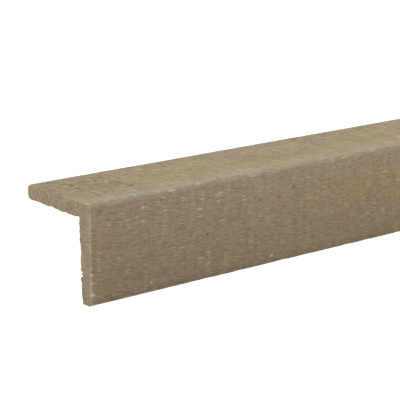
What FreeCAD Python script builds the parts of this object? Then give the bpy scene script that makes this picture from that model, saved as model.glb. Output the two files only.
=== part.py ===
"""Corner guard moulding: one length of rough-sawn softwood, L-shaped in section, that covers an
outside corner of a wall or of a panelled frame. Millimetres, +Z up.

It lies as it would on a floor, standing on the feet of both legs with the outer arris uppermost.
+X runs along the length, away from the end that shows in the photograph, and the origin is at
floor level under the middle of the piece.
"""
import FreeCAD
import Part
import Sketcher
import math
import os

doc = FreeCAD.newDocument("corner_guard_moulding")

# Driving dimensions
sheet = doc.addObject("Spreadsheet::Sheet", "sizes")
SIZES = (
    ("stock_length", 1200.0),       # a length this moulding is sold in
    ("leg_width", 45.0),            # outer arris to the foot of either leg
    ("back_root", 7.6),             # thickness of the back leg beside the inner corner
    ("back_tip", 6.5),              # and at its foot
    ("front_root", 7.7),            # thickness of the front leg beside the inner corner
    ("front_tip", 6.2),             # and at its foot
    ("back_tip_round", 1.1),        # both corners of the back leg's foot
    ("front_tip_round", 0.7),       # both corners of the front leg's foot
    ("root_round", 0.8),            # hollow left by the saw in the inner corner
    ("end_ease", 0.4),              # worn edge round the outside of each sawn end
    ("ease_back", 3.0),             # mean width of the hand-eased arris on the back leg
    ("ease_front", 2.8),            # and on the front leg
    ("ease_wave", 0.45),            # how far the long swing of the easing strays from the mean
    ("ease_ripple", 0.25),          # and the short one
    ("wave_pitch", 172.0),          # length of the long swing
    ("ripple_pitch", 67.0),         # and of the short one
    ("ease_curve", 0.735),          # radius of the easing, as a share of its chord
    ("station_pitch", 20.0),        # spacing of the sections that carry the easing
    ("overcut", 0.12),              # the easing's sections stand this far outside the stock
    ("tear_depth", 1.3),            # flake torn off behind the front leg's foot, at the near end
    ("tear_start", 30.6),           # arris to the step where the flake begins
    ("tear_step", 0.9),             # how far that step slopes
    ("tear_run", 58.0),             # along the grain, to where the flake runs out
    ("tear_lift", 0.2),             # the flake's floor is this far clear of the face there
    ("tear_clear", 1.0),            # the flake's outline stands this far outside the leg
)
for row, (alias, value) in enumerate(SIZES, start=1):
    sheet.set(f"A{row}", alias)
    sheet.set(f"B{row}", str(value))
    sheet.setAlias(f"B{row}", alias)
doc.recompute()

# Points closer than this are one point
same_place = 0.01

# The body and the planes of its own origin
body = doc.addObject("PartDesign::Body", "corner_guard")
body.Label = "corner_guard"
planes = {feature.Role: feature for feature in body.Origin.OriginFeatures}


def attached_sketch(name, role, offset=None):
    """An empty sketch on one of the body's origin planes, moved off it by offset if one is given."""
    sketch = body.newObject("Sketcher::SketchObject", name)
    sketch.AttachmentSupport = (planes[role], "")
    sketch.MapMode = "FlatFace"
    if offset is not None:
        sketch.AttachmentOffset = offset
    return sketch


def bind(sketch, kind, where, value, expression):
    """A dimension of a sketch that follows the sheet."""
    index = sketch.addConstraint(Sketcher.Constraint(kind, *where, value))
    sketch.setExpression(f"Constraints[{index}]", expression)


def closed_outline(sketch, corners):
    """Straight sides from corner to corner, joined end to end."""
    ends = corners[1:] + corners[:1]
    for start, end in zip(corners, ends):
        sketch.addGeometry(Part.LineSegment(FreeCAD.Vector(*start, 0), FreeCAD.Vector(*end, 0)))
    for side in range(len(corners)):
        sketch.addConstraint(Sketcher.Constraint("Coincident", side, 2, (side + 1) % len(corners), 1))


# Section: two legs square to each other outside, each a little thinner at its foot than at the root
leg = sheet.leg_width
section = attached_sketch("section", "YZ_Plane")
closed_outline(section, [
    (0, 0), (leg, 0), (leg, -sheet.back_tip), (sheet.front_root, -sheet.back_root),
    (sheet.front_tip, -leg), (0, -leg),
])
section.addConstraint(Sketcher.Constraint("Coincident", 0, 1, -1, 1))
section.addConstraint(Sketcher.Constraint("Horizontal", 0))
section.addConstraint(Sketcher.Constraint("Vertical", 1))
section.addConstraint(Sketcher.Constraint("Horizontal", 4))
section.addConstraint(Sketcher.Constraint("Vertical", 5))
bind(section, "DistanceX", (0, 1, 0, 2), leg, "sizes.leg_width")
bind(section, "DistanceY", (1, 2, 1, 1), sheet.back_tip, "sizes.back_tip")
bind(section, "DistanceX", (-1, 1, 2, 2), sheet.front_root, "sizes.front_root")
bind(section, "DistanceY", (2, 2, -1, 1), sheet.back_root, "sizes.back_root")
bind(section, "DistanceX", (4, 2, 4, 1), sheet.front_tip, "sizes.front_tip")
bind(section, "DistanceY", (5, 1, 5, 2), leg, "sizes.leg_width")

stock = body.newObject("PartDesign::Pad", "sawn_stock")
stock.Profile = section
stock.SideType = "Symmetric"
stock.setExpression("Length", "sizes.stock_length")
doc.recompute()


def end_edges(feature):
    """Names of the edges where the two outer faces meet the sawn ends."""
    names = []
    for number, edge in enumerate(feature.Shape.Edges, start=1):
        first, last = edge.Vertexes[0], edge.Vertexes[-1]
        across = abs(first.X - last.X) < same_place
        on_back_face = max(abs(first.Z), abs(last.Z)) < same_place
        on_front_face = max(abs(first.Y), abs(last.Y)) < same_place
        if across and (on_back_face or on_front_face):
            names.append(f"Edge{number}")
    return names


def edges_through(feature, points):
    """Names of the lengthwise edges of a feature that run past one of the (y, z) points."""
    names = []
    for number, edge in enumerate(feature.Shape.Edges, start=1):
        if edge.Length < sheet.stock_length / 2:
            continue
        middle = edge.valueAt((edge.FirstParameter + edge.LastParameter) / 2)
        if any(math.hypot(middle.y - y, middle.z - z) < same_place for y, z in points):
            names.append(f"Edge{number}")
    return names


# Sawn ends: the outer edges have lost their sharpness and their stain
worn_ends = body.newObject("PartDesign::Chamfer", "worn_ends")
worn_ends.Base = (stock, end_edges(stock))
worn_ends.setExpression("Size", "sizes.end_ease")
doc.recompute()

# Feet: the sawn corners are rubbed round
back_foot = body.newObject("PartDesign::Fillet", "back_foot")
back_foot.Base = (worn_ends, edges_through(worn_ends, [(leg, 0), (leg, -sheet.back_tip)]))
back_foot.setExpression("Radius", "sizes.back_tip_round")
doc.recompute()

front_foot = body.newObject("PartDesign::Fillet", "front_foot")
front_foot.Base = (back_foot, edges_through(back_foot, [(0, -leg), (sheet.front_tip, -leg)]))
front_foot.setExpression("Radius", "sizes.front_tip_round")
doc.recompute()

inner_corner = body.newObject("PartDesign::Fillet", "inner_corner")
inner_corner.Base = (front_foot, edges_through(front_foot, [(sheet.front_root, -sheet.back_root)]))
inner_corner.setExpression("Radius", "sizes.root_round")
doc.recompute()

# Outer arris: eased by hand, so that its width swings along the length, and not quite alike on
# the two legs. Each station is the corner that the tool took off there: it is drawn at the mean
# width, and the sheet then gives it its own.
out = sheet.overcut
on_back = FreeCAD.Vector(sheet.ease_back, out, 0)
on_front = FreeCAD.Vector(-out, -sheet.ease_front, 0)
outside = FreeCAD.Vector(-out, out, 0)
chord = on_back.distanceToPoint(on_front)
radius = sheet.ease_curve * chord
bulge = radius - math.sqrt(radius ** 2 - chord ** 2 / 4)
across = (on_back - on_front).normalize()
crown = (on_back + on_front) / 2 + FreeCAD.Vector(-across.y, across.x, 0) * bulge

stations = int(round(sheet.stock_length / sheet.station_pitch)) + 1
taken_off = []
for station in range(stations):
    x = (station / (stations - 1) - 0.5) * sheet.stock_length
    swing = f"sizes.ease_wave * sin(360 deg * {x} / sizes.wave_pitch)"
    turn = f"360 deg * {x} / sizes.ripple_pitch"
    back = f"(sizes.ease_back + {swing} + sizes.ease_ripple * sin({turn}))"
    front = f"(sizes.ease_front + {swing} - sizes.ease_ripple * cos({turn}))"
    corner_chord = f"sqrt(({back} + sizes.overcut)^2 + ({front} + sizes.overcut)^2)"
    offset = FreeCAD.Placement(FreeCAD.Vector(0, 0, x), FreeCAD.Rotation())
    corner = attached_sketch(f"easing_{station:02d}", "YZ_Plane", offset)
    corner.addGeometry(Part.Arc(on_back, crown, on_front))
    corner.addGeometry(Part.LineSegment(on_front, outside))
    corner.addGeometry(Part.LineSegment(outside, on_back))
    first_end = 1 if corner.getPoint(0, 1).distanceToPoint(on_back) < same_place else 2
    last_end = 3 - first_end
    corner.addConstraint(Sketcher.Constraint("Coincident", 0, last_end, 1, 1))
    corner.addConstraint(Sketcher.Constraint("Coincident", 1, 2, 2, 1))
    corner.addConstraint(Sketcher.Constraint("Coincident", 2, 2, 0, first_end))
    corner.addConstraint(Sketcher.Constraint("Vertical", 1))
    corner.addConstraint(Sketcher.Constraint("Horizontal", 2))
    bind(corner, "DistanceX", (1, 2, -1, 1), out, "sizes.overcut")
    bind(corner, "DistanceY", (-1, 1, 1, 2), out, "sizes.overcut")
    bind(corner, "DistanceX", (-1, 1, 2, 2), sheet.ease_back, back)
    bind(corner, "DistanceY", (1, 1, -1, 1), sheet.ease_front, front)
    bind(corner, "Radius", (0,), radius, f"sizes.ease_curve * {corner_chord}")
    taken_off.append(corner)
doc.recompute()

eased_arris = body.newObject("PartDesign::SubtractiveLoft", "eased_arris")
eased_arris.Profile = taken_off[0]
eased_arris.Sections = taken_off[1:]
doc.recompute()

# Tear: a flake came away with the saw cut at the near end, from the inside of the front leg's
# foot. It is deepest at the end grain and runs out along the grain.
front_slope = (sheet.front_root - sheet.front_tip) / (leg - sheet.back_root)
inside_face = sheet.front_tip + front_slope * (leg - sheet.tear_start)
slope_text = "(sizes.front_root - sizes.front_tip) / (sizes.leg_width - sizes.back_root)"
inside_text = f"sizes.front_tip + {slope_text} * (sizes.leg_width - sizes.tear_start)"


def tear_sketch(name, x, floor, floor_text):
    """The flake's outline at one place along the grain, open to the inside and below the foot."""
    offset = FreeCAD.Placement(FreeCAD.Vector(0, 0, x), FreeCAD.Rotation())
    sketch = attached_sketch(name, "YZ_Plane", offset)
    top = -sheet.tear_start
    outside = inside_face + sheet.tear_clear
    below = -leg - sheet.tear_clear
    closed_outline(sketch, [
        (outside, top), (floor, top - sheet.tear_step), (floor, below), (outside, below),
    ])
    sketch.addConstraint(Sketcher.Constraint("Vertical", 1))
    sketch.addConstraint(Sketcher.Constraint("Horizontal", 2))
    sketch.addConstraint(Sketcher.Constraint("Vertical", 3))
    bind(sketch, "DistanceY", (0, 1, -1, 1), sheet.tear_start, "sizes.tear_start")
    bind(sketch, "DistanceY", (0, 2, 0, 1), sheet.tear_step, "sizes.tear_step")
    bind(sketch, "DistanceY", (2, 1, -1, 1), -below, "sizes.leg_width + sizes.tear_clear")
    bind(sketch, "DistanceX", (-1, 1, 0, 1), outside, f"{inside_text} + sizes.tear_clear")
    bind(sketch, "DistanceX", (-1, 1, 1, 1), floor, floor_text)
    return sketch


near_end = -sheet.stock_length / 2
mouth = tear_sketch(
    "tear_mouth", near_end, inside_face - sheet.tear_depth, f"{inside_text} - sizes.tear_depth"
)
run_out = tear_sketch(
    "tear_run_out", near_end + sheet.tear_run, inside_face + sheet.tear_lift,
    f"{inside_text} + sizes.tear_lift",
)
doc.recompute()

end_tear = body.newObject("PartDesign::SubtractiveLoft", "end_tear")
end_tear.Profile = mouth
end_tear.Sections = [run_out]
end_tear.Ruled = True
doc.recompute()
body.Tip = end_tear


def foot_centre(tip, root, root_at, rounding):
    """Centre of the rounding on the inside of a foot: along the leg, and in from its outer face."""
    slope = (tip - root) / (leg - root_at)
    return leg - rounding, tip - slope * rounding - rounding * math.hypot(1, slope)


# Stance: both feet on the floor. The legs differ a little at the foot, so the lean is found from
# the two roundings that touch the floor, and comes out within a degree of an even 45.
back_along, back_in = foot_centre(sheet.back_tip, sheet.back_root, sheet.front_root, sheet.back_tip_round)
front_along, front_in = foot_centre(sheet.front_tip, sheet.front_root, sheet.back_root, sheet.front_tip_round)
spread_y = back_along - front_in
spread_z = front_along - back_in
step = sheet.back_tip_round - sheet.front_tip_round
lean = math.asin(step / math.hypot(spread_y, spread_z)) - math.atan2(spread_z, spread_y)
lift = sheet.back_tip_round + back_in * math.cos(lean) - back_along * math.sin(lean)
back_reach = (
    (leg - sheet.back_tip_round) * math.cos(lean)
    + sheet.back_tip_round * (1 + math.sin(lean))
)
front_reach = (
    (leg - sheet.front_tip_round) * math.sin(lean)
    - sheet.front_tip_round * (1 - math.cos(lean))
)
body.Placement = FreeCAD.Placement(
    FreeCAD.Vector(0, -(back_reach + front_reach) / 2, lift),
    FreeCAD.Rotation(FreeCAD.Vector(1, 0, 0), math.degrees(lean)),
)
doc.recompute()

# Every object has to be sound, and every cut has to have taken wood away, before a file is written
least_cut = 1.0
for thing in doc.Objects:
    if "Invalid" in thing.State or "Error" in thing.State:
        raise RuntimeError(f"{thing.Name} failed")
history = (stock, worn_ends, back_foot, front_foot, inner_corner, eased_arris, end_tear)
for before, after in zip(history, history[1:]):
    if abs(before.Shape.Volume - after.Shape.Volume) < least_cut:
        raise RuntimeError(f"{after.Name} changed nothing")
if body.Shape.isNull() or not body.Shape.isValid() or len(body.Shape.Solids) != 1:
    raise RuntimeError("the moulding is not one valid solid")

os.makedirs("parts", exist_ok=True)
body.Shape.exportStep(f"parts/{body.Label}.step")
box = body.Shape.optimalBoundingBox(False, True)
print(f"{box.XLength:.2f} x {box.YLength:.2f} x {box.ZLength:.2f} mm, {body.Shape.Volume / 1000:.1f} cm3")
print(f"lean {math.degrees(lean):.3f} degrees, y {box.YMin:.3f} to {box.YMax:.3f}, z from {box.ZMin:.4f}")
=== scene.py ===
import math

import bmesh
import bpy
import numpy as np
from mathutils import Matrix, Vector, noise
from mathutils.geometry import delaunay_2d_cdt


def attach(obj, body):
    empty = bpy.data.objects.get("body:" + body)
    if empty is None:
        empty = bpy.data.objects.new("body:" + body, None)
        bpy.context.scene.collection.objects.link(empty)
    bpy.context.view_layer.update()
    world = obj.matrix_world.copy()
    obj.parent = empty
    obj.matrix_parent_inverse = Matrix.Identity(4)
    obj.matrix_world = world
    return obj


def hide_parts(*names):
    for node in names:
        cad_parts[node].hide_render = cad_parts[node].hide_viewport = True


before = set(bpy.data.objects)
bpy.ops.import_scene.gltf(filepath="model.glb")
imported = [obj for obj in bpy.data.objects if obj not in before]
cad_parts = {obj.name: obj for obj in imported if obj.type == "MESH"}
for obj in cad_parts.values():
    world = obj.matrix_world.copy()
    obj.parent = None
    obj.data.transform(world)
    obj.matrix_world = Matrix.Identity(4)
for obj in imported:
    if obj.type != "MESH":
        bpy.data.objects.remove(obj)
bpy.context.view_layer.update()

# The corner guard: one length of softwood, sawn to an L and stained grey-brown, with nothing fixed
# to it. It stands on the feet of its two legs, with the outer arris uppermost.

# All sizes are in mm: along is from the near sawn end, a is from the arris down the back leg and b
# is from the arris down the front leg
metre = 1000.0
length = 1200.0
leg = 45.0
back_root, back_tip, back_round = 7.6, 6.5, 1.1
front_root, front_tip, front_round = 7.7, 6.2, 0.7


def foot_centre(tip, root, root_at, rounding):
    """Centre of the rounding inside a foot: down the leg, and in from its outer face."""
    slope = (tip - root) / (leg - root_at)
    return leg - rounding, tip - slope * rounding - rounding * math.hypot(1, slope)


back_down, back_in = foot_centre(back_tip, back_root, front_root, back_round)
front_down, front_in = foot_centre(front_tip, front_root, back_root, front_round)
spread_a = back_down - front_in
spread_b = front_down - back_in
lean = (math.asin((back_round - front_round) / math.hypot(spread_a, spread_b))
        - math.atan2(spread_b, spread_a))
down_back = Vector((0, math.cos(lean), math.sin(lean)))
down_front = Vector((0, math.sin(lean), -math.cos(lean)))
arris_height = back_round + back_in * math.cos(lean) - back_down * math.sin(lean)
back_reach = (leg - back_round) * math.cos(lean) + back_round * (1 + math.sin(lean))
front_reach = (leg - front_round) * math.sin(lean) - front_round * (1 - math.cos(lean))
arris_start = Vector((-length / 2, -(back_reach + front_reach) / 2, arris_height)) / metre


def stand(along, a, b):
    """A point of the moulding, in metres, where it stands."""
    return arris_start + (Vector((along, 0, 0)) + down_back * float(a) + down_front * float(b)) / metre


# The outer arris is eased by hand, so its width swings a little along the length. Its curve has a
# radius of 0.735 of its chord, and starts 0.12 mm outside either face.
ease_back, ease_front = 3.0, 2.8
ease_wave, wave_pitch = 0.45, 172.0
ease_ripple, ripple_pitch = 0.25, 67.0
ease_curve = 0.735
overcut = 0.12


def easing(along):
    """Centre and radius of the eased arris there, and where it runs out on either face."""
    turn = 2 * math.pi * (along - length / 2)
    swing = ease_wave * math.sin(turn / wave_pitch)
    wide_back = ease_back + swing + ease_ripple * math.sin(turn / ripple_pitch)
    wide_front = ease_front + swing - ease_ripple * math.cos(turn / ripple_pitch)
    start = np.array([wide_back, -overcut])
    end = np.array([-overcut, wide_front])
    chord = np.linalg.norm(start - end)
    radius = ease_curve * chord
    across = (start - end) / chord
    inward = np.array([-across[1], across[0]])
    centre = (start + end) / 2 + inward * math.sqrt(radius ** 2 - chord ** 2 / 4)
    on_back = centre[0] - math.sqrt(radius ** 2 - centre[1] ** 2)
    on_front = centre[1] - math.sqrt(radius ** 2 - centre[0] ** 2)
    return centre, radius, on_back, on_front


def straight(start, end, count):
    """Points from start up to but not including end."""
    share = np.arange(count)[:, None] / count
    return np.array(start) * (1 - share) + np.array(end) * share


def turned(centre, radius, first, last, count):
    """Points round an arc, from the angle first up to but not including last, in degrees."""
    angle = np.radians(first + (last - first) * np.arange(count) / count)
    return np.array(centre) + radius * np.stack([np.cos(angle), np.sin(angle)], 1)


# The stretches of the outline, in order from the back leg's foot, with the points each has. They
# are closest over the edge of the flake that tore out beside the front leg's foot.
front_turn, back_turn, foot_flat = 4, 5, 4
stretches = (("back face", 58), ("arris", 10), ("front face", 58), ("front foot", 2 * front_turn + foot_flat),
             ("front inside low", 16), ("flake edge", 22), ("front inside high", 30), ("inner corner", 4),
             ("back inside", 46), ("back foot", 2 * back_turn + foot_flat))
points_in = dict(stretches)
kind = np.concatenate([np.full(many, name) for name, many in stretches])
flake_edge, above_edge, below_edge = 30.6, 0.8, 4.6

# The inner corner is rounded, and the taper of the legs sets the centre of that a little further out
root_round, root_set_out = 0.8, 1.02


def section(along):
    """The outline at one station: up from the back foot, over the arris and back inside."""
    centre, radius, on_back, on_front = easing(along)
    first = math.degrees(math.atan2(-centre[1], on_back - centre[0]))
    last = math.degrees(math.atan2(on_front - centre[1], -centre[0]))
    back_tilt = math.atan2(back_root - back_tip, leg - front_root)
    front_tilt = math.atan2(front_root - front_tip, leg - back_root)
    root_centre = np.array([front_root, back_root]) + root_set_out * root_round
    root_low = root_centre + root_round * np.array([-math.cos(front_tilt), math.sin(front_tilt)])
    root_high = root_centre + root_round * np.array([math.sin(back_tilt), -math.cos(back_tilt)])
    foot_inside = (front_in + front_round * math.cos(front_tilt),
                   leg - front_round - front_round * math.sin(front_tilt))
    flake_from, flake_to = [
        (front_tip + (front_root - front_tip) * (leg - b) / (leg - back_root), b)
        for b in (flake_edge + below_edge, flake_edge - above_edge)]
    back_inside = (leg - back_round + back_round * math.sin(back_tilt),
                   back_in + back_round * math.cos(back_tilt))
    return np.concatenate([
        straight((leg - back_round, 0), (on_back, 0), points_in["back face"]),
        turned(centre, radius, first, last, points_in["arris"]),
        straight((0, on_front), (0, leg - front_round), points_in["front face"]),
        turned((front_round, leg - front_round), front_round, 180, 90, front_turn),
        straight((front_round, leg), (front_in, leg), foot_flat),
        turned((front_in, leg - front_round), front_round, 90, -math.degrees(front_tilt), front_turn),
        straight(foot_inside, flake_from, points_in["front inside low"]),
        straight(flake_from, flake_to, points_in["flake edge"]),
        straight(flake_to, root_low, points_in["front inside high"]),
        turned(root_centre, root_round, 180 + math.degrees(front_tilt),
               270 + math.degrees(back_tilt), points_in["inner corner"]),
        straight(root_high, back_inside, points_in["back inside"]),
        turned((leg - back_round, back_in), back_round, 90 - math.degrees(back_tilt), 0, back_turn),
        straight((leg, back_in), (leg, back_round), foot_flat),
        turned((leg - back_round, back_round), back_round, 0, -90, back_turn),
    ])


# Stations stand closer together over the near part, where the blade's marks have their full depth
near_part, near_step = 200.0, 1.2
far_part, far_step = 201.0, 6.4
end_edge, first_step, last_step = 0.35, 1.3, 2.0
alongs = np.concatenate([
    [0.0, end_edge],
    np.arange(first_step, near_part, near_step),
    np.arange(far_part, length - far_step, far_step),
    [length - last_step, length - end_edge, length]])
rings = np.array([section(along) for along in alongs])
tangent = np.roll(rings, -1, axis=1) - np.roll(rings, 1, axis=1)
outward = np.stack([-tangent[..., 1], tangent[..., 0]], 2)
outward /= np.linalg.norm(outward, axis=2, keepdims=True)
around = np.concatenate([[0], np.cumsum(np.linalg.norm(np.diff(rings[0], axis=0), axis=1))])
outside = ("back face", "arris", "front face")
inside = ("front inside low", "flake edge", "front inside high", "inner corner", "back inside")

# The blade cut every 3.3 mm, on a slight slant and deeper in patches. It pulled fibres, left shallow
# hollows and tore small splinters out. Handling smoothed the arris and the feet and dented the feet,
# each along a line of its own, and the inner faces are rougher.
blade_pitch, blade_slant, blade_wander, blade_depth = 3.3, 0.035, 0.8, 0.04
patch_share = 0.45
fade_run, faded_share = 60.0, 0.3
fibre_depth, hollow_depth = 0.16, 0.16
splinter_depth, splinter_rarity = 0.8, 0.36
arris_share, foot_share = 0.4, 0.5
inside_sunk, inside_depth, inside_ridge = 0.12, 0.42, 0.25
dent_depth, dent_rarity = 0.35, 0.1
foot_line = {"back foot": 9, "front foot": 10}


def rough(x, y, run, width, layer):
    """Smooth noise from -1 to 1 whose bumps are about run by width. Each relief has its own layer."""
    return noise.noise(Vector((x / run, y / width, layer)))


def sawn_depth(along, way_round, place):
    """How far the saw and the handling took the surface in at a point, in millimetres."""
    share = min(1.0, max(faded_share, (near_part + fade_run - along) / fade_run))
    patch = max(0.0, patch_share + rough(along, way_round, 45, 24, 3.1))
    blade = (along / blade_pitch + blade_slant * way_round
             + blade_wander * rough(along, way_round, 30, 40, 7.7))
    cut = blade_depth * patch * (1 + math.sin(2 * math.pi * blade)) * share
    fibre = fibre_depth * max(0.0, rough(along, way_round, 9, 1.9, 1.9))
    hollow = hollow_depth * max(0.0, rough(along, way_round, 40, 13, 5.3))
    splinter = splinter_depth * max(0.0, rough(along, way_round, 9, 3.4, 9.2) - splinter_rarity)
    depth = cut + fibre + hollow + splinter
    if place == "arris":
        return arris_share * depth
    if place in inside:
        return depth + inside_sunk + inside_depth * max(-inside_ridge, rough(along, way_round, 11, 3.3, 4.6))
    if place in foot_line:
        dent = dent_depth * max(0.0, rough(along, foot_line[place], 7, 1, 2.2) - dent_rarity)
        return foot_share * depth + dent
    return depth


# The edges of both ends are worn, and the back leg's foot is knocked at its corners: each has its
# place on the foot, how deep it is knocked and how far that reaches
worn_outside, worn_inside = 0.35, 0.1
knocks = ((back_tip, 0.5, 2.4), (0.0, 0.25, 1.6))
knock_along = 0.5

# A long flake tore out of the inside of the front leg at the near end: 1.3 mm deep there, and gone
# within 58 mm. Its edge is a ragged step, and its floor rises a little as it runs out.
flake_run, flake_depth, flake_lift = 58.0, 1.3, 0.2
flake_face = front_tip + (front_root - front_tip) * (leg - flake_edge) / (leg - back_root)
flake_step, edge_wander = 0.9, 0.6
fine_tear, coarse_tear = 0.35, 0.2

# Each pair below is a distance from the arris and the thickness that the saw and the tear left there
# at the end itself. The legs are back to their plain thickness 45 mm further in.
wander_run, wander_splinter = 45.0, 0.12
left_of_back = np.array([
    (8, 6.7), (10.5, 7.1), (15.5, 7.1), (17, 6.7), (20, 7.2), (25.5, 6.7), (28, 6.3), (29.5, 6.9),
    (33.5, 6.6), (36, 6.4), (39.5, 6.6), (42.5, 6.5), (44, 6.2)])
left_of_front = np.array([
    (8, 7.5), (10, 7.7), (11, 7.1), (13, 7.5), (14.5, 6.9), (17, 7.2), (19, 6.5), (22.5, 6.2), (26, 6.5),
    (28.5, 6.1), (30.4, 6.3), (30.6, 4.8), (31, 4.8), (31.2, 5.8), (31.7, 5.8), (32.1, 4.9), (32.5, 4.9),
    (33.2, 5.9), (34.4, 6.4), (35.4, 5.6), (41, 5.6), (42, 5.2), (45, 4.7)])
corner_moved = np.array([left_of_front[0, 1] - front_root, left_of_back[0, 1] - back_root])
torn_points = np.isin(kind, ("front foot",) + inside)
for station, along in enumerate(alongs):
    ring = rings[station]
    depth = np.array([sawn_depth(along, way_round, place) for way_round, place in zip(around, kind)])
    if station in (0, len(alongs) - 1):
        depth += np.where(np.isin(kind, outside), worn_outside, worn_inside)
    for corner, knocked, knock_reach in knocks:
        away = np.hypot(ring[:, 0] - leg, ring[:, 1] - corner) + knock_along * along
        depth += knocked * np.clip(1 - away / knock_reach, 0, 1)
    ring -= depth[:, None] * outward[station]
    if along < flake_run:
        floor_at = flake_face - flake_depth + (flake_depth + flake_lift) * along / flake_run
        for i in np.flatnonzero((ring[:, 1] > flake_edge - edge_wander) & torn_points):
            a, b = ring[i]
            torn = fine_tear * rough(along, b, 5, 1.1, 4.4) + coarse_tear * rough(along, b, 18, 3, 8.8)
            past_edge = b - flake_edge + edge_wander * rough(along, 6.6, 7, 1, 0.0)
            down = min(1.0, max(0.0, past_edge / flake_step))
            ring[i, 0] = min(a, (flake_face + flake_step) * (1 - down) + (floor_at + torn) * down)
    swung = max(0.0, 1 - along / wander_run) ** 2
    if swung == 0:
        continue
    for i in np.flatnonzero(torn_points):
        a, b = ring[i]
        splinter = wander_splinter * rough(along, a + b, 3, 0.9, 5.7)
        if kind[i] == "inner corner":
            ring[i] += swung * corner_moved
        elif kind[i] == "back inside":
            ring[i, 1] += swung * (np.interp(a, *left_of_back.T) + splinter - b)
        else:
            left = np.interp(b, *left_of_front.T) + splinter
            ring[i, 0] += swung * ((min(a, left) if kind[i] == "front foot" else left) - a)

mesh = bpy.data.meshes.new("softwood_guard")
guard = bpy.data.objects.new("softwood_guard", mesh)
bpy.context.collection.objects.link(guard)
bm = bmesh.new()
loops = [[bm.verts.new(stand(along, a, b)) for a, b in ring] for along, ring in zip(alongs, rings)]
count = len(kind)
for near, far in zip(loops, loops[1:]):
    for i in range(count):
        j = (i + 1) % count
        bm.faces.new((near[i], near[j], far[j], far[i])).smooth = True

# The sawn ends: the blade left the hard summer wood of the growth rings standing a little. The
# rings are about 2.6 mm apart, round a heart that lay beyond the back face.
ring_pitch, ring_wander = 2.6, 0.5
heart_a, heart_b = 4.0, -18.0
ring_depth, pore_depth, pore_ridge, end_sunk = 0.06, 0.24, 0.4, 0.1


def end_depth(a, b):
    """How far the blade took the end grain in at a point, in millimetres."""
    years = math.hypot(a - heart_a, b - heart_b) / ring_pitch + ring_wander * rough(a, b, 6, 6, 2.7)
    return (ring_depth * (1 + math.sin(2 * math.pi * years))
            + pore_depth * max(-pore_ridge, rough(a, b, 1.1, 1.1, 6.1)) + end_sunk)


# Each end is filled with spots 0.7 mm apart, moved a little off their grid and kept off the rim
spot_pitch, spot_moved, rim_gap = 0.7, 0.18, 0.45
past_corner = back_root + 1
inside_only, snap = 1, 1e-5
end_grain_slot = 1
for loop, ring, along, inward in ((loops[0], rings[0], 0.0, 1), (loops[-1], rings[-1], length, -1)):
    start, stop = ring, np.roll(ring, -1, axis=0)
    spots = []
    for a in np.arange(spot_pitch, leg, spot_pitch):
        for b in np.arange(spot_pitch, leg, spot_pitch):
            if a > past_corner and b > past_corner:
                continue
            x = a + spot_moved * rough(a, b, 1, 1, 1.1)
            y = b + spot_moved * rough(a, b, 1, 1, 2.2)
            spans = (start[:, 1] > y) != (stop[:, 1] > y)
            rise = np.where(spans, stop[:, 1] - start[:, 1], 1)
            crossing = start[:, 0] + (stop[:, 0] - start[:, 0]) * (y - start[:, 1]) / rise
            nearest = np.min(np.hypot(start[:, 0] - x, start[:, 1] - y))
            if np.count_nonzero(spans & (x < crossing)) % 2 and nearest > rim_gap:
                spots.append(Vector((x, y)))
    rim = [Vector(point) for point in ring]
    sides = [(i, (i + 1) % count) for i in range(count)]
    points, _, faces, sources, _, _ = delaunay_2d_cdt(rim + spots, sides, [], inside_only, snap)
    made = []
    for point, source in zip(points, sources):
        if source and source[0] < count:
            made.append(loop[source[0]])
        else:
            made.append(bm.verts.new(stand(along + inward * end_depth(*point), *point)))
    for face in faces:
        cap = bm.faces.new([made[i] for i in face])
        cap.material_index = end_grain_slot
        cap.smooth = True
bmesh.ops.recalc_face_normals(bm, faces=bm.faces)
bm.to_mesh(mesh)
bm.free()


# Rough-sawn softwood under a thin grey-brown stain. The blade tore the fibres, so the stain took
# in short pale and dark strokes along the grain. Olive on the back face, browner on the front,
# and thin and smooth on the band beside the arris that was sanded.
wood = bpy.data.materials.new("rough_sawn_stained_softwood")
wood.use_nodes = True
tree = wood.node_tree


def linear(code):
    """An sRGB hex colour as linear light."""
    channels = [int(code[i:i + 2], 16) / 255 for i in (0, 2, 4)]
    return tuple(c / 12.92 if c <= 0.04045 else ((c + 0.055) / 1.055) ** 2.4 for c in channels) + (1.0,)


def add_node(tree, node_kind, settings, links):
    """Adds a node with its settings and links, by name or number, and gives its outputs."""
    node = tree.nodes.new("ShaderNode" + node_kind)
    for name, value in settings.items():
        if isinstance(name, int) or name in node.inputs:
            node.inputs[name].default_value = value
        else:
            setattr(node, name, value)
    for name, source in links.items():
        tree.links.new(source, node.inputs[name])
    return node.outputs


def own_axes(tree):
    """The piece's own axes in mm, from the arris: X along it, Y down the back leg, Z up the front leg."""
    place = add_node(tree, "TexCoord", {}, {})["Object"]
    to_arris = -metre * (Matrix.Rotation(-lean, 3, "X") @ arris_start)
    own = add_node(tree, "Mapping", {"Location": to_arris, "Rotation": (-lean, 0, 0),
                                     "Scale": (metre, metre, metre)}, {"Vector": place})["Vector"]
    return add_node(tree, "SeparateXYZ", {}, {0: own})


def faded(tree, value, *changes):
    """The value times a share for each change: what it follows, from, to, the share at both, and how."""
    for follows, start, stop, first, last, how in changes:
        share = add_node(tree, "MapRange", {"interpolation_type": how, "From Min": start, "From Max": stop,
                                            "To Min": first, "To Max": last}, {"Value": follows})[0]
        value = add_node(tree, "Math", {"operation": "MULTIPLY"}, {0: value, 1: share})[0]
    return value


evenly, softly = "LINEAR", "SMOOTHSTEP"
axes = own_axes(tree)
along = axes["X"]

# Across is how far round from the arris: more than 0 on the back face, less than 0 on the front
across = add_node(tree, "Math", {"operation": "ADD"}, {0: axes["Y"], 1: axes["Z"]})[0]
flat = add_node(tree, "CombineXYZ", {}, {0: along, 1: across})[0]

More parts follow.
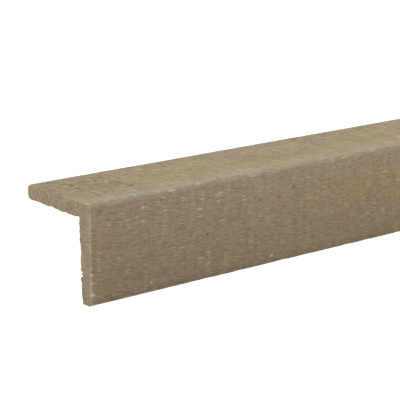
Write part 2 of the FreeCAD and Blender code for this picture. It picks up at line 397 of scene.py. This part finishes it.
# The grain wanders across the piece by a few millimetres in 80, and slopes 4 mm in 100
grain_run, grain_width, grain_wander, grain_slope = 80, 30, 7.0, 0.04
wander = add_node(tree, "Mapping", {"Scale": (1 / grain_run, 1 / grain_width, 1)}, {"Vector": flat})[0]
wander = add_node(tree, "TexNoise", {"noise_dimensions": "2D", "Scale": 1, "Detail": 1},
                  {"Vector": wander})[0]
bent = add_node(tree, "Math", {"operation": "MULTIPLY_ADD", 1: grain_wander}, {0: wander, 2: across})[0]
bent = add_node(tree, "Math", {"operation": "MULTIPLY_ADD", 1: grain_slope}, {0: along, 2: bent})[0]
grain = add_node(tree, "CombineXYZ", {}, {0: along, 1: bent})[0]

# Each cloud has the length and width in mm of the mark that it stands for, and a part of the noise of
# its own. Real fibres are under a tenth of a millimetre across: here they are drawn at half a
# millimetre, or they would not show.
shift_along, shift_across = 7.3, 3.1
clouds = {}
for name, run, width, detail, roughness, follows in (
        ("fibres", 3.6, 0.5, 3.0, 0.6, grain), ("strokes", 5.5, 1.3, 2.0, 0.5, grain),
        ("raised", 5.2, 0.36, 0.0, 0.5, grain), ("growth", 40, 2.1, 2.0, 0.5, grain),
        ("blotches", 9, 6.5, 2.0, 0.55, flat), ("blade", 5.5, 70, 1.0, 0.5, flat),
        ("teeth", 1.3, 6.0, 1.0, 0.5, flat), ("hue", 15, 6.5, 1.0, 0.5, flat),
        ("smears", 8, 2.8, 2.0, 0.5, grain), ("chips", 8, 600, 1.0, 0.5, flat),
        ("pits", 2.1, 1.9, 1.0, 0.5, flat), ("patches", 22, 13, 1.0, 0.5, flat),
        ("edge waves", 30, 600, 2.0, 0.6, flat), ("ticks", 90, 1.6, 1.0, 0.5, flat),
        ("specks", 1.2, 1.1, 1.0, 0.5, flat)):
    shift = (shift_along * len(clouds), shift_across * len(clouds), 0)
    spread = add_node(tree, "Mapping", {"Location": shift, "Scale": (1 / run, 1 / width, 1)},
                      {"Vector": follows})[0]
    clouds[name] = add_node(tree, "TexNoise", {"noise_dimensions": "2D", "Scale": 1, "Detail": detail,
                                               "Roughness": roughness}, {"Vector": spread})[0]

# The mean tone of either face and of the sanded band, and how strongly each cloud tells in it
tones = {}
for face, mean, strengths in (
        ("front", 1.0, {"fibres": 1.00, "strokes": 0.38, "growth": 0.18, "smears": 0.10, "blotches": 0.10,
                        "blade": 0.11, "teeth": 0.26}),
        ("back", 1.0, {"fibres": 0.38, "strokes": 0.46, "growth": 0.14, "smears": 0.36, "blotches": 0.36,
                       "patches": 0.20, "blade": 0.12, "teeth": 0.14, "specks": 0.58}),
        ("band", 0.97, {"strokes": 0.7, "specks": 0.5, "fibres": 1.0})):
    lowest = mean - sum(strengths.values()) / 2
    links = {}
    for name, strength in strengths.items():
        links[0] = clouds[name]
        links[2] = add_node(tree, "Math", {"operation": "MULTIPLY_ADD", 1: strength, 2: lowest}, links)[0]
    tones[face] = links[2]

# The front face is painted darker towards its foot, as painted shade, and a thin painted shadow runs along
# the foot's edge.
# Within 9 mm of the near end that painted shade is eased, so the corner between the two is painted lighter.
# The face is also a little darker within 20 mm of the near end.
eased_shade_near_end = add_node(tree, "MapRange", {"From Min": 1, "From Max": 9, "To Min": 1.0, "To Max": 0.0},
                   {"Value": along})[0]
eased_shade_near_end = faded(tree, eased_shade_near_end, (across, -44, -27, 0.3, 0.0, evenly))
eased_shade_near_end = add_node(tree, "Math", {"operation": "ADD", 1: 1.0}, {0: eased_shade_near_end})[0]
tones["front"] = add_node(tree, "Math", {"operation": "MULTIPLY"}, {0: tones["front"], 1: eased_shade_near_end})[0]
# Painted shade: darker towards the foot, and a thin painted shadow along the foot's edge
tones["front"] = faded(
    tree, tones["front"], (along, 20, 150, 0.992, 1.06, evenly), (across, -44, -2, 0.74, 1.06, evenly),
    (across, -43.8, -40.5, 0.83, 1.0, softly))

# The back face took more stain over its near 40 mm. It is paler beside the band and within a few
# millimetres of its near end, and it is worn paler along its foot.
tones["back"] = faded(
    tree, tones["back"], (along, 36, 44, 0.955, 1.0, evenly), (across, 4, 17, 1.14, 1.0, evenly),
    (along, 2, 10, 1.03, 1.0, evenly), (across, 41.8, 43.8, 1.0, 1.12, softly))

# The stain dried olive in some patches and redder in others, and on the back face the more so the
# further from the near end
hue = add_node(tree, "MapRange", {"interpolation_type": softly, "From Min": 0.34, "From Max": 0.66},
               {"Value": clouds["hue"]})[0]
patchy = add_node(tree, "Math", {"operation": "SUBTRACT", 1: 0.5}, {0: hue})[0]
patchy = faded(tree, patchy, (along, 50, 150, 0.35, 1.0, evenly))
patchy = add_node(tree, "Math", {"operation": "ADD", 1: 0.5}, {0: patchy})[0]
colours = {}
for face, patches, olive, red in (
        ("front", hue, "8f7d5f", "8e7a60"), ("back", patchy, "897d5c", "8f7a5f"),
        ("band", hue, "8e7f6a", "8c8067")):
    colours[face] = add_node(tree, "Mix", {"data_type": "RGBA", 6: linear(olive), 7: linear(red)},
                             {0: patches})[2]

# The front face dried warmer further from the near end and redder beside it, and handling greyed it
# towards the arris. The back face is less red beside the band and worn grey along its foot. The
# band is browner further from the near end.
for face, follows, start, stop, first, last, tint in (
        ("front", along, 100, 180, 0.0, 0.5, "917a5a"), ("front", along, 25, 65, 0.22, 0.0, "927a60"),
        ("front", across, -14, -3, 0.0, 0.9, "8c7c65"), ("back", across, 10, 20, 0.25, 0.0, "8a7d5f"),
        ("back", across, 33, 43, 0.0, 0.7, "887d63"), ("band", along, 60, 180, 0.0, 1.0, "8d7e63")):
    share = add_node(tree, "MapRange", {"From Min": start, "From Max": stop, "To Min": first, "To Max": last},
                     {"Value": follows})[0]
    colours[face] = add_node(tree, "Mix", {"data_type": "RGBA", 7: linear(tint)},
                             {0: share, 6: colours[face]})[2]
for face, tone in tones.items():
    colours[face] = add_node(tree, "VectorMath", {"operation": "SCALE"}, {0: colours[face], "Scale": tone})[0]

# The log moved on at each stroke of the saw, 21 mm for the back face and 12.5 mm for the front. On
# the back face the teeth left dark pits in rows across the grain there, and fewer between the rows and
# further from the near end. On the front face they left a thin pale line in places.
saw_slant = 0.04
saw_way = add_node(tree, "Math", {"operation": "MULTIPLY_ADD", 1: saw_slant}, {0: across, 2: along})[0]
rows = {}
for face, feed, first_row, low, high in (("back", 21.0, 14.0, 0.55, 0.97), ("front", 12.5, 3.5, 0.86, 1.0)):
    turn = 2 * math.pi / feed
    wave = add_node(tree, "Math", {"operation": "MULTIPLY_ADD", 1: turn, 2: math.pi / 2 - turn * first_row},
                    {0: saw_way})[0]
    wave = add_node(tree, "Math", {"operation": "SINE"}, {0: wave})[0]
    rows[face] = add_node(tree, "MapRange", {"interpolation_type": softly, "From Min": low, "From Max": high},
                          {"Value": wave})[0]
between_rows = add_node(tree, "MapRange", {"From Min": 38, "From Max": 46, "To Min": 0.5, "To Max": 0.2},
                        {"Value": along})[0]
rows["back"] = add_node(tree, "Math", {"operation": "MAXIMUM"}, {0: rows["back"], 1: between_rows})[0]
pits = add_node(tree, "MapRange", {"interpolation_type": softly, "From Min": 0.5, "From Max": 0.68},
                {"Value": clouds["pits"]})[0]
pits = add_node(tree, "Math", {"operation": "MULTIPLY"}, {0: pits, 1: rows["back"]})[0]
pits = faded(tree, pits, (along, 30, 60, 0.68, 0.5, evenly), (across, 12, 18, 0.3, 1.0, evenly))
lines = add_node(tree, "MapRange", {"interpolation_type": softly, "From Min": 0.5, "From Max": 0.62,
                                    "To Max": 0.08}, {"Value": clouds["patches"]})[0]
lines = add_node(tree, "Math", {"operation": "MULTIPLY"}, {0: lines, 1: rows["front"]})[0]
for face, marks, tint in (("back", pits, "5c4316"), ("front", lines, "b3a283")):
    colours[face] = add_node(tree, "Mix", {"data_type": "RGBA", 7: linear(tint)},
                             {0: marks, 6: colours[face]})[2]

# The sanded band beside the arris is 5 to 12 mm wide on the back face and 2 mm on the front face,
# with a wavy edge, and sanded less in places. A millimetre down the front face counts as 4.5.
front_counts, edge_swing = -4.5, -16.0
band_edge = add_node(tree, "Math", {"operation": "MULTIPLY_ADD", 1: front_counts},
                     {0: axes["Z"], 2: axes["Y"]})[0]
band_edge = add_node(tree, "Math", {"operation": "MULTIPLY_ADD", 1: edge_swing},
                     {0: clouds["edge waves"], 2: band_edge})[0]
sanded = add_node(tree, "MapRange", {"interpolation_type": softly, "From Min": -3.0, "From Max": 5.0,
                                     "To Min": 0.85, "To Max": 0.0}, {"Value": band_edge})[0]
sanded = faded(tree, sanded, (clouds["patches"], 0.36, 0.56, 0.5, 1.0, evenly))
on_back = add_node(tree, "MapRange", {"interpolation_type": softly, "From Min": -1.6, "From Max": 1.2},
                   {"Value": across})[0]
colour = add_node(tree, "Mix", {"data_type": "RGBA"},
                  {0: on_back, 6: colours["front"], 7: colours["back"]})[2]
colour = add_node(tree, "Mix", {"data_type": "RGBA"}, {0: sanded, 6: colour, 7: colours["band"]})[2]

# Along the arris the colour is made paler, most so 1.2 mm onto the back face, and slightly darker beyond
# that; it is also greyer,
# and it is knocked in places: each happens within so far of its own line beside the arris
worn = {}
for name, line, start, stop, first, last, how in (
        ("paler", 1.2, 0.8, 2.4, 1.03, 0.985, softly), ("greyer", 0.5, 1.5, 3.5, 1.0, 0.0, evenly),
        ("knocked", 1.6, 0.5, 1.5, 0.6, 0.0, softly)):
    away = add_node(tree, "Math", {"operation": "SUBTRACT", 1: line}, {0: across})[0]
    away = add_node(tree, "Math", {"operation": "ABSOLUTE"}, {0: away})[0]
    worn[name] = add_node(tree, "MapRange", {"interpolation_type": how, "From Min": start, "From Max": stop,
                                             "To Min": first, "To Max": last}, {"Value": away})[0]
colour = add_node(tree, "VectorMath", {"operation": "SCALE"}, {0: colour, "Scale": worn["paler"]})[0]
colour = add_node(tree, "Mix", {"data_type": "RGBA", "blend_type": "MULTIPLY", 7: (1.0, 1.0, 1.055, 1.0)},
                  {0: worn["greyer"], 6: colour})[2]

# Torn fibres stand up pale out of the stain, in dashes 2 to 4 mm long, most where the blade tore
# more, and fewer towards the front leg's foot and away from the near end
raised = add_node(tree, "MapRange", {"interpolation_type": softly, "From Min": 0.66, "From Max": 0.84,
                                     "To Max": 0.9}, {"Value": clouds["raised"]})[0]
raised = faded(tree, raised, (clouds["patches"], 0.4, 0.62, 0.4, 1.0, softly),
               (across, -38, -8, 0.6, 1.0, evenly), (along, 60, 200, 1.0, 0.75, evenly))
colour = add_node(tree, "Mix", {"data_type": "RGBA", 7: linear("bcac8f")}, {0: raised, 6: colour})[2]

# Small knocks along the arris show bare wood
bare = add_node(tree, "MapRange", {"interpolation_type": softly, "From Min": 0.62, "From Max": 0.72},
                {"Value": clouds["chips"]})[0]
bare = add_node(tree, "Math", {"operation": "MULTIPLY"}, {0: bare, 1: worn["knocked"]})[0]
colour = add_node(tree, "Mix", {"data_type": "RGBA", 7: linear("a5977f")}, {0: bare, 6: colour})[2]

# The larger tufts and knocks, and the holes where a tuft came out whole, are where they lie on the
# piece: how far along, how far round from the arris, half the length and half the width in mm, and
# how bare or how dark. Their outlines are ragged, by up to 0.8 mm along and 0.4 mm across.
ragged = add_node(tree, "CombineXYZ", {}, {0: clouds["fibres"], 1: clouds["teeth"]})[0]
ragged = add_node(tree, "VectorMath", {"operation": "MULTIPLY_ADD", 1: (1.6, 0.8, 0), 2: (-0.8, -0.4, 0)},
                  {0: ragged})[0]
ragged = add_node(tree, "VectorMath", {"operation": "ADD"}, {0: flat, 1: ragged})[0]
for tint, marks in (
        ("d8c9ae", ((28.5, -5.5, 0.9, 1.0, 0.8), (40, -3, 1.5, 0.5, 0.5), (41, -9, 1.6, 0.6, 0.35),
                    (29, -11.5, 1.6, 0.6, 0.3), (15.5, -26, 1.8, 0.5, 0.35), (73, -6, 2.4, 0.5, 0.65),
                    (62.5, -7, 2.2, 0.45, 0.5), (61, -11.5, 3.2, 0.5, 0.4), (61.5, -15, 2.4, 0.45, 0.4),
                    (75, -19, 2.4, 0.5, 0.35), (34, -40.5, 1.1, 0.8, 0.4), (106.5, -41, 1.2, 0.7, 0.5),
                    (45.5, 0, 3.0, 0.9, 0.4), (60.5, 1, 2.2, 1.1, 0.4), (1, -31, 1.9, 0.8, 0.6),
                    (1.5, -40, 2.0, 1.2, 0.6))),
        ("4c360f", ((66, -24, 1.0, 1.3, 0.7), (119, -10, 1.2, 1.3, 0.6), (39, -4, 1.5, 0.7, 0.5),
                    (5, -4, 2.8, 2.4, 0.25), (14, 32, 1.6, 1.9, 0.8), (14, 27, 1.6, 1.8, 0.6),
                    (27, 32, 1.4, 1.7, 0.7), (35, 16, 1.9, 2.2, 0.75), (35, 24, 1.4, 1.9, 0.7),
                    (69.5, 35.5, 1.6, 1.6, 0.7)))):
    links = {}
    for mark_along, mark_across, long, wide, strength in marks:
        mark = add_node(tree, "Mapping", {"Location": (-mark_along / long, -mark_across / wide, 0),
                                          "Scale": (1 / long, 1 / wide, 1)}, {"Vector": ragged})[0]
        mark = add_node(tree, "VectorMath", {"operation": "LENGTH"}, {0: mark})["Value"]
        links[0] = add_node(tree, "MapRange", {"interpolation_type": softly, "From Min": 0.2, "From Max": 1.0,
                                               "To Min": strength, "To Max": 0.0}, {"Value": mark})[0]
        links[1] = add_node(tree, "Math", {"operation": "MAXIMUM", 1: 0.0}, links)[0]
    colour = add_node(tree, "Mix", {"data_type": "RGBA", 7: linear(tint)}, {0: links[1], 6: colour})[2]

# Cutting to length chipped the stain off the end's front edge, in a pale line with short ticks. It
# is wider towards the foot, and lies further in from the edge there, and it misses in places.
from_middle = add_node(tree, "Math", {"operation": "SUBTRACT", 1: length / 2}, {0: along})[0]
from_middle = add_node(tree, "Math", {"operation": "ABSOLUTE"}, {0: from_middle})[0]
from_end = add_node(tree, "Math", {"operation": "SUBTRACT", 0: length / 2}, {1: from_middle})[0]
ticks = add_node(tree, "MapRange", {"interpolation_type": softly, "From Min": 0.58, "From Max": 0.74,
                                    "To Max": 2.6}, {"Value": clouds["ticks"]})[0]
line_width = add_node(tree, "MapRange", {"From Min": -32, "From Max": -18, "To Min": 1.15, "To Max": 0.55},
                      {"Value": across})[0]
line_width = add_node(tree, "Math", {"operation": "ADD"}, {0: line_width, 1: ticks})[0]
chipped = add_node(tree, "Math", {"operation": "DIVIDE"}, {0: from_end, 1: line_width})[0]
chipped = add_node(tree, "MapRange", {"interpolation_type": softly, "From Min": 0.6, "From Max": 1.1,
                                      "To Min": 1.0, "To Max": 0.0}, {"Value": chipped})[0]
set_in = add_node(tree, "MapRange", {"From Min": -32, "From Max": -18, "To Min": 0.3, "To Max": -0.4},
                  {"Value": across})[0]
set_in = add_node(tree, "Math", {"operation": "SUBTRACT"}, {0: from_end, 1: set_in})[0]
chipped = faded(tree, chipped, (set_in, 0.0, 0.35, 0.35, 1.0, evenly), (across, -28, 0, 0.85, 0.32, evenly),
                (clouds["blotches"], 0.38, 0.6, 0.45, 1.0, evenly))
colour = add_node(tree, "Mix", {"data_type": "RGBA", 7: linear("c4b3a0")}, {0: chipped, 6: colour})[2]

# The strokes and fibres stand up, the pits are sunk, and sanding took most of that off the band and
# left it a little less dull
height = clouds["strokes"]
for relief, strength in ((clouds["fibres"], 0.5), (clouds["blade"], 0.4), (raised, 0.3), (pits, -0.5)):
    height = add_node(tree, "Math", {"operation": "MULTIPLY_ADD", 1: strength}, {0: relief, 2: height})[0]
height = faded(tree, height, (sanded, 0, 1, 1.0, 0.35, evenly))
bumps = add_node(tree, "Bump", {"Strength": 1.0, "Distance": 0.0003}, {"Height": height})[0]
dull = add_node(tree, "MapRange", {"To Min": 0.86, "To Max": 0.66}, {"Value": sanded})[0]
shader = tree.nodes["Principled BSDF"]
shader.inputs["IOR"].default_value = 1.5
for socket, source in (("Base Color", colour), ("Roughness", dull), ("Normal", bumps)):
    tree.links.new(source, shader.inputs[socket])
mesh.materials.append(wood)

# End grain under the same stain, sawn across. The soft spring wood drank more of it, so the growth
# rings show as dark bands along the back leg. Nearer the corner the rays show instead, in fine
# lines that fan out from the heart. It dried olive in some patches and greyer in others.
ends = bpy.data.materials.new("sawn_end_grain")
ends.use_nodes = True
tree = ends.node_tree
axes = own_axes(tree)
cut = add_node(tree, "CombineXYZ", {}, {0: axes["Y"], 1: axes["Z"]})[0]
from_heart = add_node(tree, "VectorMath", {"operation": "DISTANCE", 1: (heart_a, -heart_b, 0)},
                      {0: cut})["Value"]
heart_across = add_node(tree, "Math", {"operation": "SUBTRACT", 1: heart_a}, {0: axes["Y"]})[0]
heart_down = add_node(tree, "Math", {"operation": "SUBTRACT", 0: -heart_b}, {1: axes["Z"]})[0]
bearing = add_node(tree, "Math", {"operation": "ARCTAN2"}, {0: heart_across, 1: heart_down})[0]
fan = add_node(tree, "CombineXYZ", {}, {0: bearing, 1: from_heart})[0]

# Each cloud has its two sizes in mm, or in radians round the heart for the rays
shift_along, shift_across = 5.1, 2.7
clouds = {}
for name, run, width, detail, follows in (
        ("warp", 6.0, 6.0, 2.0, cut), ("pores", 0.7, 0.7, 2.0, cut), ("clouds", 4.0, 4.0, 2.0, cut),
        ("hue", 6.0, 4.0, 1.0, cut), ("rays", 0.045, 5.0, 1.0, fan)):
    shift = (shift_along * len(clouds), shift_across, 0)
    spread = add_node(tree, "Mapping", {"Location": shift, "Scale": (1 / run, 1 / width, 1)},
                      {"Vector": follows})[0]
    clouds[name] = add_node(tree, "TexNoise", {"noise_dimensions": "2D", "Scale": 1, "Detail": detail},
                            {"Vector": spread})[0]
years = add_node(tree, "Math", {"operation": "MULTIPLY_ADD", 1: 1 / ring_pitch},
                 {0: from_heart, 2: clouds["warp"]})[0]
years = add_node(tree, "Math", {"operation": "MULTIPLY", 1: 2 * math.pi}, {0: years})[0]
summer = add_node(tree, "Math", {"operation": "SINE"}, {0: years})[0]
banded = add_node(tree, "MapRange", {"From Min": 12, "From Max": 26, "To Min": 0.03, "To Max": 0.15},
                  {"Value": axes["Y"]})[0]
tone = add_node(tree, "Math", {"operation": "MULTIPLY_ADD", 2: 0.19}, {0: summer, 1: banded})[0]
for name, strength in (("pores", 1.2), ("clouds", 0.5)):
    tone = add_node(tree, "Math", {"operation": "MULTIPLY_ADD", 1: strength}, {0: clouds[name], 2: tone})[0]

# The rays lie between 8 and 22 mm down the back leg
rays = add_node(tree, "MapRange", {"From Min": 0.3, "From Max": 0.7, "To Min": -0.2, "To Max": 0.2},
                {"Value": clouds["rays"]})[0]
rays = faded(tree, rays, (axes["Y"], 7, 10, 0.0, 1.0, evenly), (axes["Y"], 19, 24, 1.0, 0.0, evenly))
tone = add_node(tree, "Math", {"operation": "ADD"}, {0: tone, 1: rays})[0]

# It is worn paler along the back face, and painted darker low on the front leg, as painted shade
tone = faded(tree, tone, (axes["Z"], -2.6, -0.3, 1.0, 1.05, evenly), (axes["Z"], -42, -25, 0.89, 1.0, evenly),
             (axes["Z"], -11, -7, 0.985, 1.01, evenly))

# The patches of hue are weaker towards the corner
from_arris = add_node(tree, "VectorMath", {"operation": "LENGTH"}, {0: cut})["Value"]
hue = add_node(tree, "MapRange", {"interpolation_type": softly, "From Min": 0.32, "From Max": 0.68,
                                  "To Min": -0.5, "To Max": 0.5}, {"Value": clouds["hue"]})[0]
hue = faded(tree, hue, (from_arris, 12, 26, 0.25, 1.0, evenly))
hue = add_node(tree, "Math", {"operation": "ADD", 1: 0.5}, {0: hue})[0]
colour = add_node(tree, "Mix", {"data_type": "RGBA", 6: linear("8e7d6b"), 7: linear("908062")}, {0: hue})[2]
colour = add_node(tree, "VectorMath", {"operation": "SCALE"}, {0: colour, "Scale": tone})[0]
height = add_node(tree, "Math", {"operation": "MULTIPLY_ADD", 1: 0.2}, {0: summer, 2: clouds["pores"]})[0]
bumps = add_node(tree, "Bump", {"Strength": 1.0, "Distance": 0.0004}, {"Height": height})[0]
shader = tree.nodes["Principled BSDF"]
shader.inputs["IOR"].default_value = 1.5
shader.inputs["Roughness"].default_value = 0.9
for socket, source in (("Base Color", colour), ("Normal", bumps)):
    tree.links.new(source, shader.inputs[socket])
mesh.materials.append(ends)

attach(guard, "root")
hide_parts("corner_guard")

# The camera, worked out from the run of the long edges and the square of the near end. It is turned
# with the piece, so that it sees the back leg level and the front leg hanging.
frame_px, sensor_mm = 400, 36
focal_px = 1638.30
yaw, pitch, roll = 0.84980, 0.25582, -0.020150
corner_px = (90.072, 205.049)
corner_in_legs = 15.2477
corner_depth = corner_in_legs * leg / metre
along_axis = Vector((1, 0, 0))
forward = (math.cos(pitch) * math.cos(yaw) * along_axis + math.cos(pitch) * math.sin(yaw) * down_back
           + math.sin(pitch) * down_front)
level = math.sin(yaw) * along_axis - math.cos(yaw) * down_back
below = forward.cross(level)
right = level * math.cos(roll) + below * math.sin(roll)
below = below * math.cos(roll) - level * math.sin(roll)
eye = (arris_start - corner_depth * forward
       - corner_depth * (corner_px[0] - frame_px / 2) / focal_px * right
       - corner_depth * (corner_px[1] - frame_px / 2) / focal_px * below)
camera_data = bpy.data.cameras.new("camera")
camera_data.lens = focal_px / frame_px * sensor_mm
camera_data.clip_start = 0.01
camera = bpy.data.objects.new("camera", camera_data)
camera.matrix_world = Matrix((
    (right.x, -below.x, -forward.x, eye.x),
    (right.y, -below.y, -forward.y, eye.y),
    (right.z, -below.z, -forward.z, eye.z),
    (0, 0, 0, 1),
))
bpy.context.collection.objects.link(camera)
bpy.context.scene.camera = camera

# The floor: a white acrylic sheet, lit from below as a product table is, wide enough to fill every
# view
half_width = 20.0
floor_mesh = bpy.data.meshes.new("floor")
corners = [(x * half_width, y * half_width, 0) for x, y in ((-1, -1), (1, -1), (1, 1), (-1, 1))]
floor_mesh.from_pydata(corners, [], [(0, 1, 2, 3)])
floor = bpy.data.objects.new("floor", floor_mesh)
bpy.context.collection.objects.link(floor)
sheet = bpy.data.materials.new("white_acrylic_sheet")
sheet.use_nodes = True
shader = sheet.node_tree.nodes["Principled BSDF"]
shader.inputs["Base Color"].default_value = linear("a0a0a0")
shader.inputs["Roughness"].default_value = 0.9
shader.inputs["Emission Color"].default_value = linear("ffffff")
shader.inputs["Emission Strength"].default_value = 0.96
floor_mesh.materials.append(sheet)

# Studio light: an even white surround, and one large soft lamp high behind the back leg. Both are
# white, so the stain shows in its own colours.
world = bpy.data.worlds.new("studio")
bpy.context.scene.world = world
world.use_nodes = True
surround = world.node_tree.nodes["Background"]
surround.inputs["Color"].default_value = (1, 1, 1, 1)
surround.inputs["Strength"].default_value = 0.8
key_data = bpy.data.lights.new("key", "AREA")
key_data.size = 1.2
key_data.energy = 14
key = bpy.data.objects.new("key", key_data)
key.location = (-0.5, 1.2, 1.4)
lit_place = Vector((-0.4, 0, 0))
key.rotation_euler = (lit_place - key.location).to_track_quat("-Z", "Y").to_euler()
bpy.context.collection.objects.link(key)
bpy.context.scene.view_settings.view_transform = "Standard"
